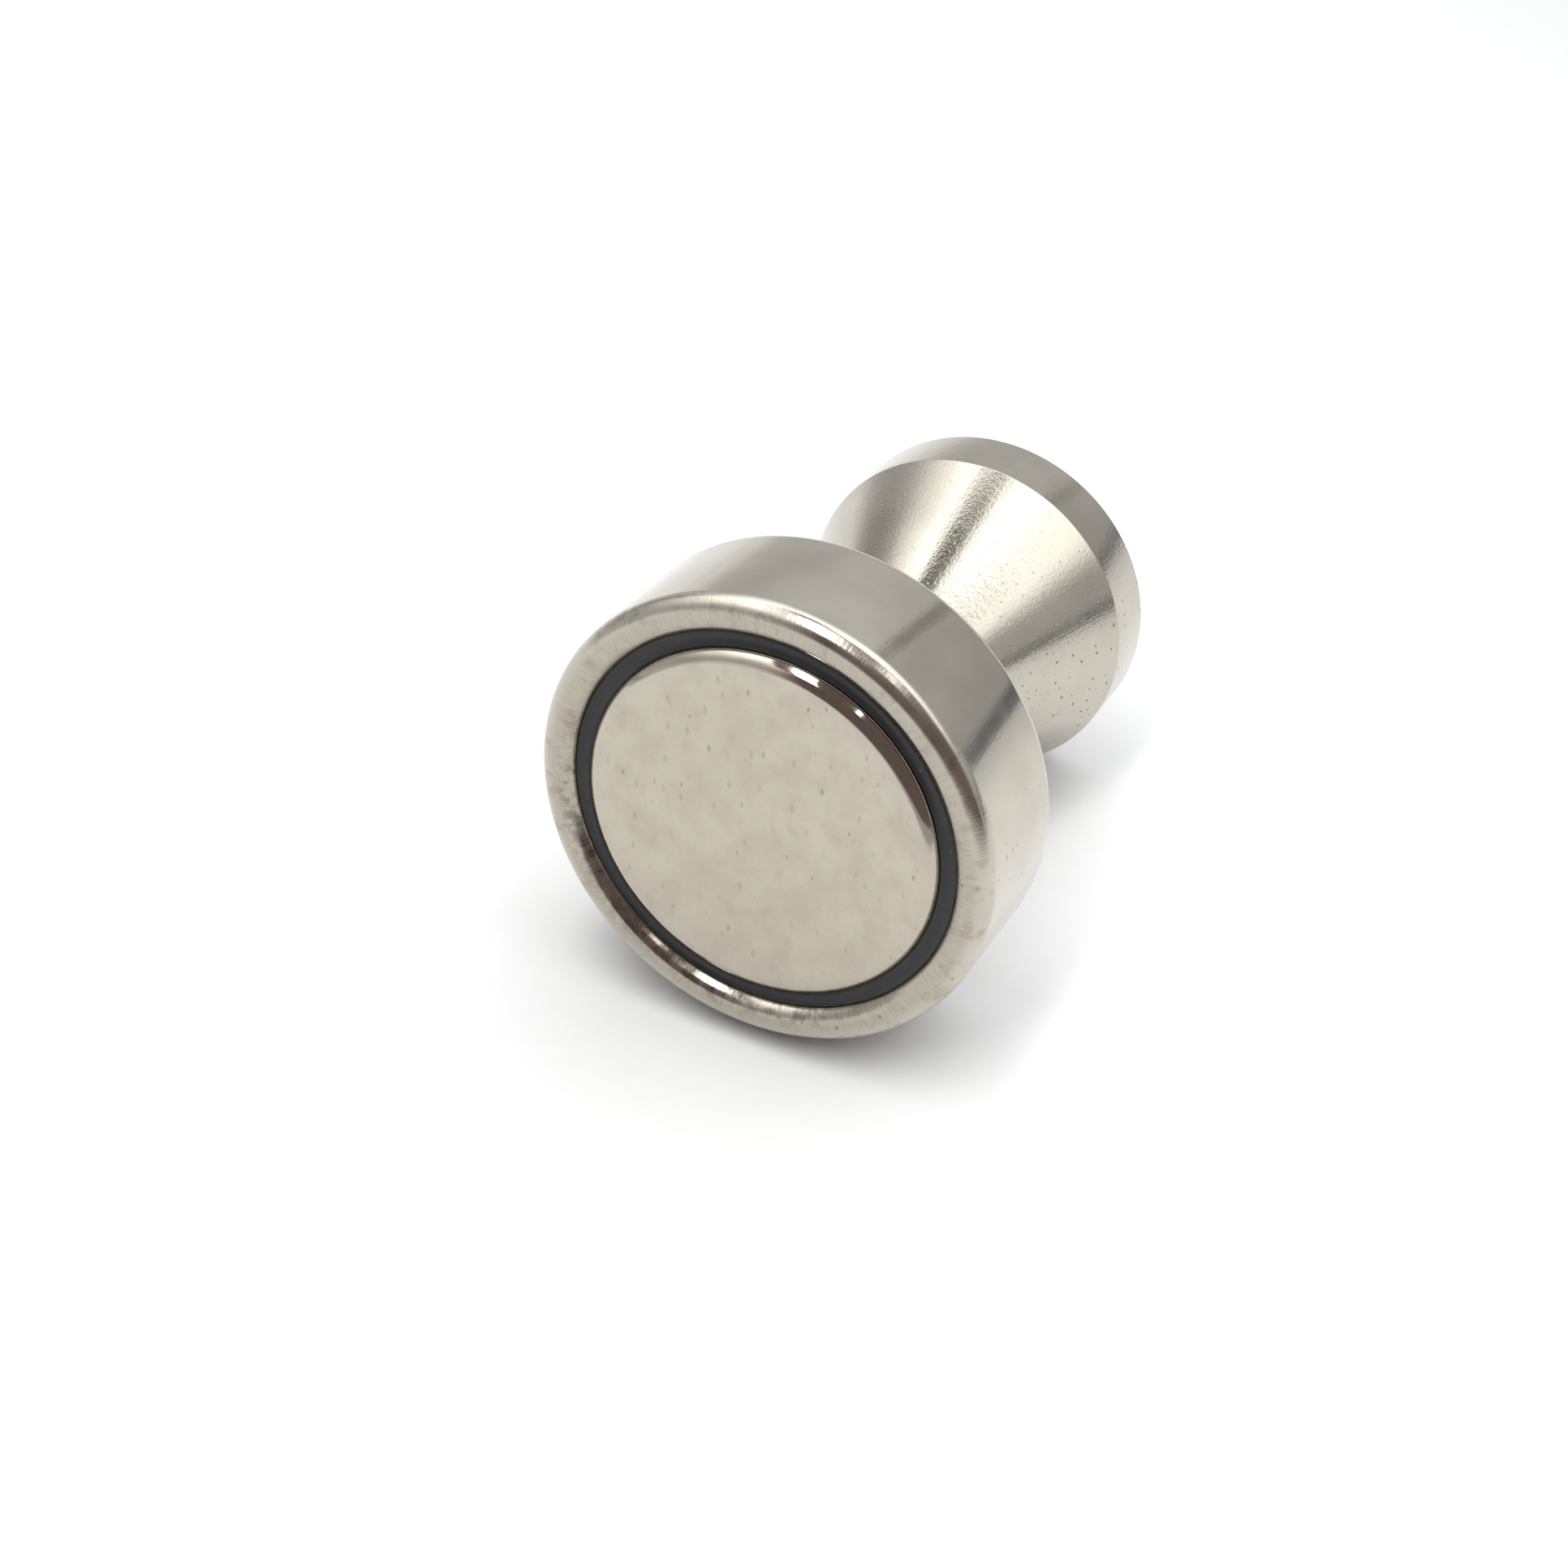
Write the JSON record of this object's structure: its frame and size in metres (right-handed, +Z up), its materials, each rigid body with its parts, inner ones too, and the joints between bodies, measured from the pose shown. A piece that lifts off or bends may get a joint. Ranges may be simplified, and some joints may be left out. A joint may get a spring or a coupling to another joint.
{
  "type": "magnetic security tag detacher",
  "caption": "Hand-held magnetic key for retail security tags: a disc magnet potted in a round steel cup, with a waisted turned knob on its back.",
  "frame": {"origin": "on the floor, under the middle of the object's box, with the object lying on its side on the rear edge of its cup and the rear edge of its knob", "axes": "+Z up; the turned axis lies in the YZ plane and runs towards +Y, dipping 8.2 degrees towards the knob; the magnet's face looks towards -Y; +X is to the right when facing +Y"},
  "size_m": [0.025, 0.0316, 0.0256],
  "materials": {
    "nickel_plate": "bright warm-grey nickel plating with fine pits and light wear",
    "magnet_nickel": "satin nickel plating with faint specks",
    "potting_resin": "black cast resin, satin",
    "adhesive": "thin cured adhesive, not seen from outside",
    "screw_steel": "zinc plated, not seen from outside"
  },
  "bodies": {
    "root": {"magnet_cup": "nickel_plate", "disc_magnet": "magnet_nickel", "magnet_bond": "adhesive", "potting_ring": "potting_resin", "handle_knob": "nickel_plate", "fixing_screw": "screw_steel"}
  },
  "joints": []
}
